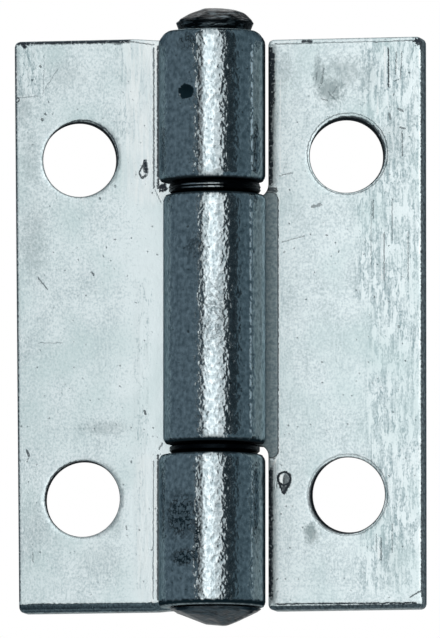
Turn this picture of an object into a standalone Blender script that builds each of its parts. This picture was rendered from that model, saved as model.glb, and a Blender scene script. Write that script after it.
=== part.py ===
"""Narrow butt hinge, 30 mm long: two pressed steel leaves with rolled knuckles on one riveted pin.

Each leaf is made as the real one is: a flat blank is pierced and notched, and its tongues
are then rolled into knuckles round the pin. The left leaf has the two end knuckles, the
right leaf the one between them, and the pin is riveted over at both ends, so nothing comes
apart.

Units are metres. The pin's axis is Z, the leaves lie open and flat in the XZ plane, and -Y
is the front, the side that the knuckles stand out on. The origin is on the pin's axis, at
half of the pin's overall length.
"""

import math

import bmesh
import bpy

MM = 0.001

# Leaves, as flat sheet
LEAF_LENGTH = 30.0 * MM
LEFT_LEAF_WIDTH = 10.95 * MM  # from the pin's axis to the outer edge, at half of the length
RIGHT_LEAF_WIDTH = 10.77 * MM
LEFT_EDGE_SKEW = 0.14 * MM  # the left outer edge is sheared this far out at the top, and in at the bottom
SHEET = 1.2 * MM
CORNER_RADIUS = 0.3 * MM
EDGE_RADIUS = 0.12 * MM  # the sheared edges are tumbled round by this much
LEFT_LEAF_RISE = 0.05 * MM  # the left leaf sits this much higher along the pin
BOTTOM_TONGUE_TRIM = 0.15 * MM  # the bottom knuckle stops this far short of the leaf's end
TRIM_START = 3.5 * MM  # distance from the pin's axis at which that cut starts
TRIM_END = 2.9 * MM

# Screw holes, plain and round, two in each leaf
HOLE_RADIUS = 1.98 * MM
HOLE_PITCH = 17.9 * MM
HOLE_DROP = 0.16 * MM  # the holes' middle lies this far below the middle of the leaf
LEFT_HOLE_MARGIN = 3.56 * MM  # from a hole's centre to the leaf's outer edge
RIGHT_HOLE_MARGIN = 3.96 * MM

# Knuckles
LEFT_BORE_RADIUS = 1.6 * MM
RIGHT_BORE_RADIUS = 1.5 * MM
LEFT_ROLL_SHIFT = 0.15 * MM  # the left leaf's knuckles are rolled this far off the pin's axis
CENTRE_KNUCKLE_LENGTH = 13.03 * MM
TOP_KNUCKLE_GAP = 0.75 * MM  # between the centre knuckle and the top one
BOTTOM_KNUCKLE_GAP = 0.62 * MM
KNUCKLE_RISE = 0.18 * MM  # the centre knuckle's middle lies this far above the right leaf's
LEFT_NOTCH_CLEARANCE = 0.3 * MM  # left as the notch's edge swings round the centre knuckle
RIGHT_NOTCH_CLEARANCE = 0.12 * MM  # and as the right leaf's edges swing round the end knuckles
NOTCH_FILLET = 0.45 * MM
SEAM_GAP = 0.08 * MM  # between the end of the roll and the face of its leaf

# Pin
PIN_CLEARANCE = 0.25 * MM  # all round, in the centre knuckle's bore
TOP_HEAD_RADIUS = 2.04 * MM
BOTTOM_HEAD_RADIUS = 2.44 * MM
TOP_HEAD_HEIGHT = 1.5 * MM  # from the end of the knuckle to the crown
BOTTOM_HEAD_HEIGHT = 1.1 * MM
TOP_SKIRT_SHARE = 0.42  # of a head's height, the part that flares out to its rim
BOTTOM_SKIRT_SHARE = 0.11
HEAD_SEAT_SHARE = 0.9  # of a head's radius, where it sits on its knuckle
HEAD_SEAT_GAP = 0.15 * MM  # between a head and the knuckle that it holds
GAP_RING_RADIUS = 2.4 * MM  # riveting swells the shank out into a ring between two knuckles
GAP_RING_CLEARANCE = 0.1 * MM  # between such a ring and the knuckles above and below it

# Facets
ROLL_STEP = math.radians(7.5)
HOLE_SEGMENTS = 40
CORNER_SEGMENTS = 4
PIN_SEGMENTS = 48
DOME_SEGMENTS = 8

# Colours, as linear values
ZINC = (0.63, 0.71, 0.74, 1.0)
DARK_STEEL = (0.10, 0.13, 0.16, 1.0)

# Derived heights along the pin
PIN_RADIUS = RIGHT_BORE_RADIUS - PIN_CLEARANCE
KNUCKLES_LENGTH = LEAF_LENGTH - BOTTOM_TONGUE_TRIM
LEFT_LEAF_TOP = (KNUCKLES_LENGTH + BOTTOM_HEAD_HEIGHT - TOP_HEAD_HEIGHT) / 2
LEFT_LEAF_BOTTOM = LEFT_LEAF_TOP - LEAF_LENGTH
KNUCKLES_BOTTOM = LEFT_LEAF_TOP - KNUCKLES_LENGTH
RIGHT_LEAF_TOP = LEFT_LEAF_TOP - LEFT_LEAF_RISE
RIGHT_LEAF_BOTTOM = RIGHT_LEAF_TOP - LEAF_LENGTH
KNUCKLE_MIDDLE = (RIGHT_LEAF_TOP + RIGHT_LEAF_BOTTOM) / 2 + KNUCKLE_RISE
CENTRE_TOP = KNUCKLE_MIDDLE + CENTRE_KNUCKLE_LENGTH / 2
CENTRE_BOTTOM = KNUCKLE_MIDDLE - CENTRE_KNUCKLE_LENGTH / 2


def clear_scene():
    for item in list(bpy.data.objects):
        bpy.data.objects.remove(item, do_unlink=True)


def steel(name, colour, roughness):
    """A metal material with one colour and one roughness."""
    material = bpy.data.materials.new(name)
    material.use_nodes = True
    shader = material.node_tree.nodes["Principled BSDF"]
    shader.inputs["Base Color"].default_value = colour
    shader.inputs["Metallic"].default_value = 1.0
    shader.inputs["Roughness"].default_value = roughness
    material.diffuse_color = colour
    return material


def rounded_outline(corners):
    """Points of a closed outline. A corner is (x, y, radius), and its arc touches both sides."""
    points = []
    count = len(corners)
    for index, (x, y, radius) in enumerate(corners):
        before = corners[index - 1]
        after = corners[(index + 1) % count]
        to_before = math.atan2(before[1] - y, before[0] - x)
        to_after = math.atan2(after[1] - y, after[0] - x)
        opening = (to_after - to_before + math.pi) % (2 * math.pi) - math.pi
        middle = to_before + opening / 2
        reach = radius / math.sin(abs(opening) / 2)
        centre_x = x + reach * math.cos(middle)
        centre_y = y + reach * math.sin(middle)
        turn = math.copysign(math.pi - abs(opening), opening)
        start = middle + math.pi + turn / 2
        for step in range(CORNER_SEGMENTS + 1):
            angle = start - turn * step / CORNER_SEGMENTS
            points.append((centre_x + radius * math.cos(angle), centre_y + radius * math.sin(angle)))
    return points


def circle(x, y, radius, segments):
    angles = [2 * math.pi * step / segments for step in range(segments)]
    return [(x + radius * math.cos(angle), y + radius * math.sin(angle)) for angle in angles]


def roll_angle(bore_radius):
    """How far the sheet turns before its outer corner meets the front face of its own leaf."""
    outer_radius = bore_radius + SHEET
    return 2 * math.pi - math.acos((bore_radius - SEAM_GAP) / outer_radius)


def roll_length(bore_radius):
    """Length of sheet in the roll, along the middle of its thickness."""
    return roll_angle(bore_radius) * (bore_radius + SHEET / 2)


def notch_distance(knuckle_radius, clearance, bore_radius):
    """Distance from the pin's axis at which a notch is cut, so that its front edge clears a knuckle."""
    return math.sqrt((knuckle_radius + clearance) ** 2 - bore_radius**2)


def blank_mesh(name, outline, holes):
    """The flat blank: X is the distance from the pin's axis, Y runs along the pin, Z is the thickness."""
    curve = bpy.data.curves.new(name, "CURVE")
    curve.dimensions = "2D"
    curve.fill_mode = "BOTH"
    curve.extrude = SHEET / 2 - EDGE_RADIUS
    curve.bevel_depth = EDGE_RADIUS
    curve.bevel_resolution = 1
    curve.offset = -EDGE_RADIUS
    for loop in [outline] + holes:
        spline = curve.splines.new("POLY")
        spline.points.add(len(loop) - 1)
        for point, (x, y) in zip(spline.points, loop):
            point.co = (x, y, 0.0, 1.0)
        spline.use_cyclic_u = True
    holder = bpy.data.objects.new(name + "_outline", curve)
    bpy.context.scene.collection.objects.link(holder)
    bpy.context.view_layer.update()
    depsgraph = bpy.context.evaluated_depsgraph_get()
    mesh = bpy.data.meshes.new_from_object(holder.evaluated_get(depsgraph))
    bpy.data.objects.remove(holder, do_unlink=True)
    return mesh


def roll_blank(mesh, side, bore_radius, shift):
    """Rolls the blank's tongues, in place. side is 1 for the right leaf and -1 for the left."""
    outer_radius = bore_radius + SHEET
    middle_radius = bore_radius + SHEET / 2
    steps = round(roll_angle(bore_radius) / ROLL_STEP)
    shape = bmesh.new()
    shape.from_mesh(mesh)
    bmesh.ops.remove_doubles(shape, verts=shape.verts, dist=MM * 0.0001)
    for step in range(steps):
        line = -roll_length(bore_radius) * step / steps
        everything = list(shape.verts) + list(shape.edges) + list(shape.faces)
        bmesh.ops.bisect_plane(
            shape, geom=everything, dist=MM * 0.00001, plane_co=(line, 0, 0), plane_no=(1, 0, 0)
        )
    for vertex in shape.verts:
        distance, along, height = vertex.co
        radius = outer_radius - (height + SHEET / 2)
        if distance >= 0:
            vertex.co = (side * distance, radius, along)
        else:
            angle = -distance / middle_radius
            vertex.co = (shift - side * radius * math.sin(angle), radius * math.cos(angle), along)
    if side < 0:
        bmesh.ops.reverse_faces(shape, faces=shape.faces)
    shape.to_mesh(mesh)
    shape.free()


def add_object(name, mesh, material):
    mesh.name = name
    mesh.materials.clear()
    mesh.materials.append(material)
    mesh.shade_smooth()
    mesh.set_sharp_from_angle(angle=math.radians(30))
    item = bpy.data.objects.new(name, mesh)
    bpy.context.scene.collection.objects.link(item)
    return item


def leaf_holes(distance, leaf_top):
    """The two screw holes, at this distance from the pin's axis."""
    middle = leaf_top - LEAF_LENGTH / 2 - HOLE_DROP
    heights = (middle - HOLE_PITCH / 2, middle + HOLE_PITCH / 2)
    return [circle(distance, height, HOLE_RADIUS, HOLE_SEGMENTS) for height in heights]


def make_left_leaf(material):
    """The leaf with a tongue at each end, so the notch between them takes the centre knuckle."""
    tip = -roll_length(LEFT_BORE_RADIUS)
    notch = notch_distance(RIGHT_BORE_RADIUS + SHEET, LEFT_NOTCH_CLEARANCE, LEFT_BORE_RADIUS)
    notch_top = CENTRE_TOP + TOP_KNUCKLE_GAP
    notch_bottom = CENTRE_BOTTOM - BOTTOM_KNUCKLE_GAP
    outline = rounded_outline(
        [
            (LEFT_LEAF_WIDTH - LEFT_EDGE_SKEW, LEFT_LEAF_BOTTOM, CORNER_RADIUS),
            (LEFT_LEAF_WIDTH + LEFT_EDGE_SKEW, LEFT_LEAF_TOP, CORNER_RADIUS),
            (tip, LEFT_LEAF_TOP, CORNER_RADIUS),
            (tip, notch_top, CORNER_RADIUS),
            (notch, notch_top, NOTCH_FILLET),
            (notch, notch_bottom, NOTCH_FILLET),
            (tip, notch_bottom, CORNER_RADIUS),
            (tip, KNUCKLES_BOTTOM, CORNER_RADIUS),
            (TRIM_END, KNUCKLES_BOTTOM, CORNER_RADIUS),
            (TRIM_START, LEFT_LEAF_BOTTOM, CORNER_RADIUS),
        ]
    )
    holes = leaf_holes(LEFT_LEAF_WIDTH - LEFT_HOLE_MARGIN, LEFT_LEAF_TOP)
    mesh = blank_mesh("leaf_left", outline, holes)
    roll_blank(mesh, -1, LEFT_BORE_RADIUS, -LEFT_ROLL_SHIFT)
    return add_object("leaf_left", mesh, material)


def make_right_leaf(material):
    """The leaf with one tongue, so the notches above and below it take the end knuckles."""
    tip = -roll_length(RIGHT_BORE_RADIUS)
    knuckle_reach = LEFT_BORE_RADIUS + SHEET + LEFT_ROLL_SHIFT
    notch = notch_distance(knuckle_reach, RIGHT_NOTCH_CLEARANCE, RIGHT_BORE_RADIUS)
    outline = rounded_outline(
        [
            (RIGHT_LEAF_WIDTH, RIGHT_LEAF_BOTTOM, CORNER_RADIUS),
            (RIGHT_LEAF_WIDTH, RIGHT_LEAF_TOP, CORNER_RADIUS),
            (notch, RIGHT_LEAF_TOP, CORNER_RADIUS),
            (notch, CENTRE_TOP, NOTCH_FILLET),
            (tip, CENTRE_TOP, CORNER_RADIUS),
            (tip, CENTRE_BOTTOM, CORNER_RADIUS),
            (notch, CENTRE_BOTTOM, NOTCH_FILLET),
            (notch, RIGHT_LEAF_BOTTOM, CORNER_RADIUS),
        ]
    )
    holes = leaf_holes(RIGHT_LEAF_WIDTH - RIGHT_HOLE_MARGIN, RIGHT_LEAF_TOP)
    mesh = blank_mesh("leaf_right", outline, holes)
    roll_blank(mesh, 1, RIGHT_BORE_RADIUS, 0.0)
    return add_object("leaf_right", mesh, material)


def head_profile(seat, radius, height, skirt_share, direction):
    """Half outline of one head: from its seat it flares out to its rim, then domes over to its crown."""
    skirt = height * skirt_share
    points = [(radius * HEAD_SEAT_SHARE, seat)]
    for step in range(DOME_SEGMENTS):
        angle = math.pi / 2 * step / DOME_SEGMENTS
        rise = skirt + (height - skirt) * math.sin(angle)
        points.append((radius * math.cos(angle), seat + direction * rise))
    points.append((0.0, seat + direction * height))
    return points


def ring_profile(upper_knuckle, lower_knuckle):
    """Half outline of the shank where it swells out between two knuckles, from the top down."""
    top = upper_knuckle - GAP_RING_CLEARANCE
    bottom = lower_knuckle + GAP_RING_CLEARANCE
    return [(PIN_RADIUS, top), (GAP_RING_RADIUS, top), (GAP_RING_RADIUS, bottom), (PIN_RADIUS, bottom)]


def make_pin(material):
    """One turned profile: the crown of the top head, down its outer side and the shank, to the bottom crown."""
    top_seat = LEFT_LEAF_TOP + HEAD_SEAT_GAP
    bottom_seat = KNUCKLES_BOTTOM - HEAD_SEAT_GAP
    profile = head_profile(top_seat, TOP_HEAD_RADIUS, TOP_HEAD_HEIGHT - HEAD_SEAT_GAP, TOP_SKIRT_SHARE, 1)[::-1]
    profile.append((PIN_RADIUS, top_seat))
    profile += ring_profile(CENTRE_TOP + TOP_KNUCKLE_GAP, CENTRE_TOP)
    profile += ring_profile(CENTRE_BOTTOM, CENTRE_BOTTOM - BOTTOM_KNUCKLE_GAP)
    profile.append((PIN_RADIUS, bottom_seat))
    bottom_height = BOTTOM_HEAD_HEIGHT - HEAD_SEAT_GAP
    profile += head_profile(bottom_seat, BOTTOM_HEAD_RADIUS, bottom_height, BOTTOM_SKIRT_SHARE, -1)
    mesh = bpy.data.meshes.new("pin")
    points = [(x, 0.0, z) for x, z in profile]
    edges = [(index, index + 1) for index in range(len(points) - 1)]
    mesh.from_pydata(points, edges, [])
    item = add_object("pin", mesh, material)
    screw = item.modifiers.new("turned", "SCREW")
    screw.axis = "Z"
    screw.steps = PIN_SEGMENTS
    screw.render_steps = PIN_SEGMENTS
    screw.use_merge_vertices = True
    screw.merge_threshold = MM * 0.001
    screw.use_smooth_shade = True
    return item


clear_scene()
plated = steel("zinc_plated_steel", ZINC, 0.3)
pin_steel = steel("pin_steel", DARK_STEEL, 0.35)
make_left_leaf(plated)
make_right_leaf(plated)
make_pin(pin_steel)
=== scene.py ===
"""Looks of the narrow butt hinge: its two plated leaves, its riveted pin, and the studio round them.

Everything is in metres in the frame of the solid model: the pin's axis is Z, the leaves lie open in
the XZ plane, and -Y is the front.
"""

import math

import bpy
import numpy as np
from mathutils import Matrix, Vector


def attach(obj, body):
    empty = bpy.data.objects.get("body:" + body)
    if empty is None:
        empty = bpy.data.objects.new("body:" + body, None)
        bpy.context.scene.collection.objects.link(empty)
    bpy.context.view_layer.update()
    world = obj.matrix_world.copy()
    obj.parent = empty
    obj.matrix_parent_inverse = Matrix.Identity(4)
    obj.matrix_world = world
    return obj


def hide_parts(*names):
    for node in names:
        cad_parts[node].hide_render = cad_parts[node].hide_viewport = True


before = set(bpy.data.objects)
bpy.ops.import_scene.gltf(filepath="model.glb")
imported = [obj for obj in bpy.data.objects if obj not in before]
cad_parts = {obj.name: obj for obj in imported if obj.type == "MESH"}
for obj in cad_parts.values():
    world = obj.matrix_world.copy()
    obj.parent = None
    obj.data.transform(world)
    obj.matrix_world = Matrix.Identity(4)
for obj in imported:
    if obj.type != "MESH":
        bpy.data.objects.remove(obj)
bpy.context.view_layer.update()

# The left leaf. A blank of 1.2 mm steel strip is pierced and notched, and its two tongues are
# rolled over forwards into the end knuckles, tight enough to grip the pin. The press leaves its
# lower edge rounded over, and its other edges almost square.
MM = 0.001
SHEET = 1.2 * MM
BREAK = 0.07 * MM
LEFT_BORE = 1.6 * MM
LEFT_SHIFT = 0.15 * MM
LEFT_WIDTH = 10.95 * MM
LEFT_NOTCH = 2.54 * MM
LEFT_TOP = 14.725 * MM
LEFT_BOTTOM = -15.275 * MM
LEFT_NOTCH_TOP = 7.12 * MM
LEFT_NOTCH_BOTTOM = -7.28 * MM
LEFT_HOLES = [(7.54 * MM, 8.59 * MM), (7.39 * MM, -9.33 * MM)]
LEFT_LEANS = [(0.33 * MM, -0.01 * MM), (0.18 * MM, 0.02 * MM)]
LEFT_HOLE_FLARE = 0.02 * MM
HOLE_RADIUS = 1.98 * MM
HOLE_PULL = 1.3 * MM
SEAM_GAP = 0.08 * MM
CORNER = 0.3 * MM
PIT = (-7.45 * MM, 11.6 * MM)
PIT_RADIUS = 0.34 * MM
PIT_DEPTH = 0.2 * MM
GRID_COARSE = 0.17 * MM
GRID_FINE = 0.07 * MM
EDGE_SKEW = 0.14 * MM
TONGUE_TRIM = 0.05 * MM
TOP_EDGE_LIFT = 0.15 * MM
KNUCKLE_PROUD = 0.19 * MM
PROUD_AZIMUTH = 11.5


def placed(name, data):
    """An object of this name in the scene, made of this data."""
    item = bpy.data.objects.new(name, data)
    bpy.context.scene.collection.objects.link(item)
    return item


def skin(name, points, faces, sharp=None):
    """An object whose mesh has these points and faces, smooth up to the sharp angle if there is one."""
    mesh = bpy.data.meshes.new(name)
    mesh.from_pydata(points, [], faces)
    if sharp:
        mesh.shade_smooth()
        mesh.set_sharp_from_angle(angle=math.radians(sharp))
    return placed(name, mesh)


def quads(number):
    """The cells of a grid of point numbers, each as its four corners."""
    corners = [number[:-1, :-1], number[1:, :-1], number[1:, 1:], number[:-1, 1:]]
    return np.stack(corners, axis=2)


def rounded_outline(corners, steps=9):
    """A closed outline as points. At each corner (distance, height, radius) an arc touches both
    sides: its centre is on the bisector, a radius over the sine of half of the opening away."""
    places = np.array(corners)[:, :2]
    radii = np.array(corners)[:, 2]
    back = np.roll(places, 1, axis=0) - places
    ahead = np.roll(places, -1, axis=0) - places
    to_back = np.arctan2(back[:, 1], back[:, 0])
    opening = (np.arctan2(ahead[:, 1], ahead[:, 0]) - to_back + np.pi) % (2 * np.pi) - np.pi
    middle = to_back + opening / 2
    reach = radii / np.sin(np.abs(opening) / 2)
    centres = places + reach[:, None] * np.stack([np.cos(middle), np.sin(middle)], axis=1)
    turn = np.copysign(np.pi - np.abs(opening), opening)
    angles = (middle + np.pi + turn / 2)[:, None] - turn[:, None] * np.linspace(0, 1, steps)
    arcs = centres[:, None] + radii[:, None, None] * np.stack([np.cos(angles), np.sin(angles)], axis=2)
    return arcs.reshape(-1, 2)


def depth_inside(points, outline, holes):
    """How far each point of the blank lies from its nearest edge, positive in the metal. It is the
    least distance to any side of the outline, with its sign from how many sides a ray crosses,
    or the distance to a hole's rim where that is less."""
    start = outline
    side = np.roll(outline, -1, axis=0) - start
    depth = np.empty(len(points))
    for part in np.array_split(np.arange(len(points)), max(1, len(points) // 20000)):
        reach = points[part, None] - start
        share = np.clip((reach * side).sum(axis=2) / (side * side).sum(axis=1), 0, 1)
        gap = np.linalg.norm(reach - share[..., None] * side, axis=2).min(axis=1)
        above = reach[..., 1] >= 0
        spans = above != (reach[..., 1] - side[:, 1] >= 0)
        lift = np.where(side[:, 1] == 0, 1, side[:, 1])
        crosses = spans & (reach[..., 0] < side[:, 0] * reach[..., 1] / lift)
        depth[part] = np.where(crosses.sum(axis=1) % 2 == 1, gap, -gap)
    for across, along in holes:
        rim = np.hypot(points[:, 0] - across, points[:, 1] - along) - HOLE_RADIUS
        depth = np.minimum(depth, rim)
    return depth


def inward(points, outline, holes):
    """Unit direction in which the depth grows fastest, from differences over a hundredth of a
    millimetre to either side."""
    slope = []
    for move in np.eye(2) * 0.01 * MM:
        after = depth_inside(points + move, outline, holes)
        slope.append(after - depth_inside(points - move, outline, holes))
    slope = np.stack(slope, axis=1)
    return slope / np.maximum(np.linalg.norm(slope, axis=1, keepdims=True), 1e-12)


def spaced(stops, coarse, fine):
    """Grid lines through every stop. Their spacing is fine at a stop and grows with the distance
    from it up to coarse: lines fall where the summed density reaches whole shares of its total."""
    lines = []
    for start, end in zip(stops[:-1], stops[1:]):
        place = np.linspace(start, end, 500)
        near = np.minimum(place - start, end - place)
        density = 1 / np.minimum(fine + near * 0.35, coarse)
        passed = np.concatenate([[0], np.cumsum((density[1:] + density[:-1]) / 2 * np.diff(place))])
        shares = np.linspace(0, passed[-1], math.ceil(passed[-1]) + 1)
        lines.append(np.interp(shares, passed, place)[:-1])
    return np.concatenate(lines + [[stops[-1]]])


def pressed_blank(across_stops, along_stops, corners, holes, front_fall, back_fall):
    """The blank as a closed skin in its own coordinates: distance from the pin, height along the
    pin, and level in the sheet from the back face up. A graded grid is kept where it is deeper than
    the edge break, and its border points are moved on to that depth. From each border point a row
    goes over the rounded break, down the sheared wall and under to the back. Each face falls away
    towards the edge by its own function of the points, as a die's roll-over does."""
    outline = rounded_outline(corners)
    across = spaced(across_stops, GRID_COARSE, GRID_FINE)
    along = spaced(along_stops, GRID_COARSE, GRID_FINE)
    grid = np.stack(np.meshgrid(across, along, indexing="ij"), axis=2)
    number = np.arange(grid[..., 0].size).reshape(grid.shape[:2])
    middles = (grid[1:, 1:] + grid[:-1, :-1]) / 2
    kept = depth_inside(middles.reshape(-1, 2), outline, holes).reshape(middles.shape[:2]) > BREAK
    used, cells = np.unique(quads(number)[kept], return_inverse=True)
    cells = cells.reshape(-1, 4)
    flat = grid.reshape(-1, 2)[used]
    sides = np.stack([cells, np.roll(cells, -1, axis=1)], axis=2).reshape(-1, 2)
    border = sides[~np.isin(sides @ (len(used), 1), sides @ (1, len(used)))]
    rim = np.unique(border)
    for _ in range(3):
        move = BREAK - depth_inside(flat[rim], outline, holes)
        flat[rim] += move[:, None] * inward(flat[rim], outline, holes)
    out = -inward(flat[rim], outline, holes)
    front = SHEET - front_fall(flat)
    back = back_fall(flat)
    turn = np.radians([30, 60, 90])
    walls = np.linspace(0.08, 0.92, 7)
    over = [(BREAK * np.sin(angle), front[rim] - BREAK * (1 - np.cos(angle))) for angle in turn]
    wall = [(BREAK, (front[rim] - BREAK) * (1 - share) + (back[rim] + BREAK) * share) for share in walls]
    under = [(BREAK * np.sin(angle), back[rim] + BREAK * (1 - np.cos(angle))) for angle in turn[::-1]]
    rows = over + wall + under
    wall_shade = np.concatenate([[0.4, 0.9, 1], np.ones(7), [1, 0.9, 0.4]])
    layers = [np.column_stack([flat, front]), np.column_stack([flat, back])]
    layers += [np.column_stack([flat[rim] + out * reach, level]) for reach, level in rows]
    points = np.concatenate(layers)
    sheared = np.concatenate([np.zeros(2 * len(flat)), np.repeat(wall_shade, len(rim))])
    place = np.searchsorted(rim, border)
    ladder = [2 * len(flat) + row * len(rim) + place for row in range(len(rows))]
    ladder = [border] + ladder + [border + len(flat)]
    strips = [
        np.stack([upper[:, 1], upper[:, 0], lower[:, 0], lower[:, 1]], axis=1)
        for upper, lower in zip(ladder[:-1], ladder[1:])
    ]
    faces = np.concatenate([cells, cells[:, ::-1] + len(flat)] + strips)
    return points, faces, sheared


def rolled(points, side, bore, shift):
    """Rolls the blank round the pin. Metal beyond the start of the roll turns by its distance over
    the middle radius of the sheet, and stands at its own level's radius from the roll's centre."""
    distance, height, level = points.T
    outer = bore + SHEET
    angle = np.maximum(shift - distance, 0) / (bore + SHEET / 2)
    radius = outer - level
    x = np.where(distance >= shift, distance, shift - radius * np.sin(angle))
    y = radius * np.cos(angle)
    return np.column_stack([side * x, y, height])


def roll_length(bore):
    """Length of sheet in a roll that ends just short of the front face of its own leaf."""
    turn = 2 * math.pi - math.acos((bore - SEAM_GAP) / (bore + SHEET))
    return turn * (bore + SHEET / 2)


def fall(depth, reach, drop):
    """Quarter of an ellipse: how far the face has dropped at this depth from an edge, from nothing
    at a depth of reach to drop at the edge itself."""
    part = np.clip(1 - depth / reach, 0, 1)
    return drop * (1 - np.sqrt(1 - part**2))


def ramp(value, start, end):
    """Straight from 0 at start to 1 at end, and held outside."""
    return np.clip((value - start) / (end - start), 0, 1)


def knuckle_ends(points, shift, ends):
    """How far the outside of a roll falls at its ends. Each end is its height and way into the
    metal, and a reach and a drop in millimetres. The fall fades in over the roll's first
    millimetre."""
    across, along = points.T
    drops = np.zeros(len(points))
    for height, way, reach, drop in ends:
        depth = (along - height) * way
        drops += np.where(depth > -0.01 * MM, fall(depth, reach * MM, drop * MM), 0)
    return drops * ramp(across, shift, shift - MM)


def pierced(points, holes, leans, flare):
    """Moves the metal round each hole as it nears the back face. A punch breaks out of the sheet a
    little off its line, so a hole's back rim lies off its front rim by its lean, and flares."""
    moved = points.copy()
    for (across, along), lean in zip(holes, leans):
        reach = points[:, :2] - (across, along)
        distance = np.linalg.norm(reach, axis=1, keepdims=True)
        share = ramp(distance, HOLE_RADIUS + HOLE_PULL, HOLE_RADIUS) * ramp(points[:, 2:], SHEET, 0)
        moved[:, :2] += share * (np.array(lean) + flare * reach / np.maximum(distance, 1e-9))
    return moved


def leaf_object(name, flat, points, faces, sheared, side, bore, shift):
    """The rolled leaf as an object, with two attributes for its finish: where each point lay on
    the flat strip, in millimetres, and how far it belongs to a sheared wall."""
    places = rolled(points, side, bore, shift)
    if side < 0:
        faces = faces[:, ::-1]
    leaf = skin(name, places, faces.tolist(), 50)
    strip = leaf.data.attributes.new("strip", "FLOAT_VECTOR", "POINT")
    strip.data.foreach_set("vector", (flat / MM).astype(np.float32).ravel())
    wall = leaf.data.attributes.new("sheared", "FLOAT", "POINT")
    wall.data.foreach_set("value", sheared.astype(np.float32))
    return leaf


def face_edges(points, bottom, top, width, holes, falls):
    """How far a leaf's front face falls at its foot, its top, its outer edge and its holes. Each has
    a reach and a drop in falls, in millimetres."""
    across, along = points.T
    depths = [along - bottom, top - along, width - across]
    depths += [np.hypot(across - x, along - y) - HOLE_RADIUS for x, y in holes]
    return sum(fall(depth, reach * MM, drop * MM) for depth, (reach, drop) in zip(depths, falls))


def left_front(points):
    """Roll-over of the left leaf's front face: deep along its foot, shallow elsewhere."""
    falls = [(0.46, 0.34), (0.12, 0.05), (0.1, 0.04), (0.12, 0.05), (0.12, 0.05)]
    drops = face_edges(points, LEFT_BOTTOM, LEFT_TOP, LEFT_WIDTH, LEFT_HOLES, falls)
    return np.where(points[:, 0] > LEFT_SHIFT, drops, 0)


def left_back(points):
    """The ends of the two end knuckles, and the round pit that is punched into the upper one."""
    ends = [
        (LEFT_TOP, -1, 0.42, 0.36),
        (LEFT_NOTCH_TOP, 1, 0.32, 0.24),
        (LEFT_NOTCH_BOTTOM, -1, 0.36, 0.3),
        (LEFT_BOTTOM, 1, 0.28, 0.22),
    ]
    pit = np.hypot(points[:, 0] - PIT[0], points[:, 1] - PIT[1]) / PIT_RADIUS
    return knuckle_ends(points, LEFT_SHIFT, ends) + PIT_DEPTH * np.clip(1 - pit**4, 0, 1)


left_tip = LEFT_SHIFT - roll_length(LEFT_BORE)
left_corners = [
    (LEFT_WIDTH, LEFT_BOTTOM, CORNER),
    (LEFT_WIDTH, LEFT_TOP, CORNER),
    (left_tip, LEFT_TOP, CORNER),
    (left_tip, LEFT_NOTCH_TOP, CORNER),
    (LEFT_NOTCH, LEFT_NOTCH_TOP, 0.45 * MM),
    (LEFT_NOTCH, LEFT_NOTCH_BOTTOM, 0.45 * MM),
    (left_tip, LEFT_NOTCH_BOTTOM, CORNER),
    (left_tip, LEFT_BOTTOM, CORNER),
]
left_flat, left_faces, left_sheared = pressed_blank(
    [left_tip + BREAK, PIT[0] - PIT_RADIUS, PIT[0] + PIT_RADIUS, LEFT_NOTCH + BREAK, LEFT_WIDTH - BREAK],
    [
        LEFT_BOTTOM + BREAK, LEFT_NOTCH_BOTTOM - BREAK, LEFT_NOTCH_TOP + BREAK,
        PIT[1] - PIT_RADIUS, PIT[1] + PIT_RADIUS, LEFT_TOP - BREAK,
    ],
    left_corners,
    LEFT_HOLES,
    left_front,
    left_back,
)
# The outer edge is sheared a little out of square, the bottom tongue is trimmed back, the top edge
# rises a little away from the knuckle, and the front of the top knuckle stands proud, pushed up
# when the pin's head was hammered.
left_points = pierced(left_flat, LEFT_HOLES, LEFT_LEANS, LEFT_HOLE_FLARE)
out, up = left_flat[:, 0], left_flat[:, 1]
middle_height = (LEFT_TOP + LEFT_BOTTOM) / 2
half_height = (LEFT_TOP - LEFT_BOTTOM) / 2
left_points[:, 0] += EDGE_SKEW * ramp(out, 9.5 * MM, LEFT_WIDTH) * (up - middle_height) / half_height
left_points[:, 1] += TONGUE_TRIM * ramp(out, 3.5 * MM, 2.9 * MM) * ramp(up, -11 * MM, -15.2 * MM)
left_points[:, 1] += TOP_EDGE_LIFT * ramp(out, 2.6 * MM, 4.6 * MM) * ramp(up, 12 * MM, 14.7 * MM)
roll_turn = np.degrees((LEFT_SHIFT - out) / (LEFT_BORE + SHEET / 2))
off_front = np.abs(180 - roll_turn - PROUD_AZIMUTH)
left_points[:, 1] += KNUCKLE_PROUD * ramp(off_front, 84, 58) * ramp(up, 12.2 * MM, 14.7 * MM)
left_leaf = leaf_object(
    "left_leaf_pressed", left_flat, left_points, left_faces, left_sheared, -1, LEFT_BORE, LEFT_SHIFT
)

# The finish of both leaves: bright zinc plating, laid over strip that still shows the fine lines of
# the rolling mill, with scratches, specks and faint stains from handling. Light and shade are
# painted into it as well: shade along edges, creases and holes, highlight lines and brighter bands.


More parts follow.
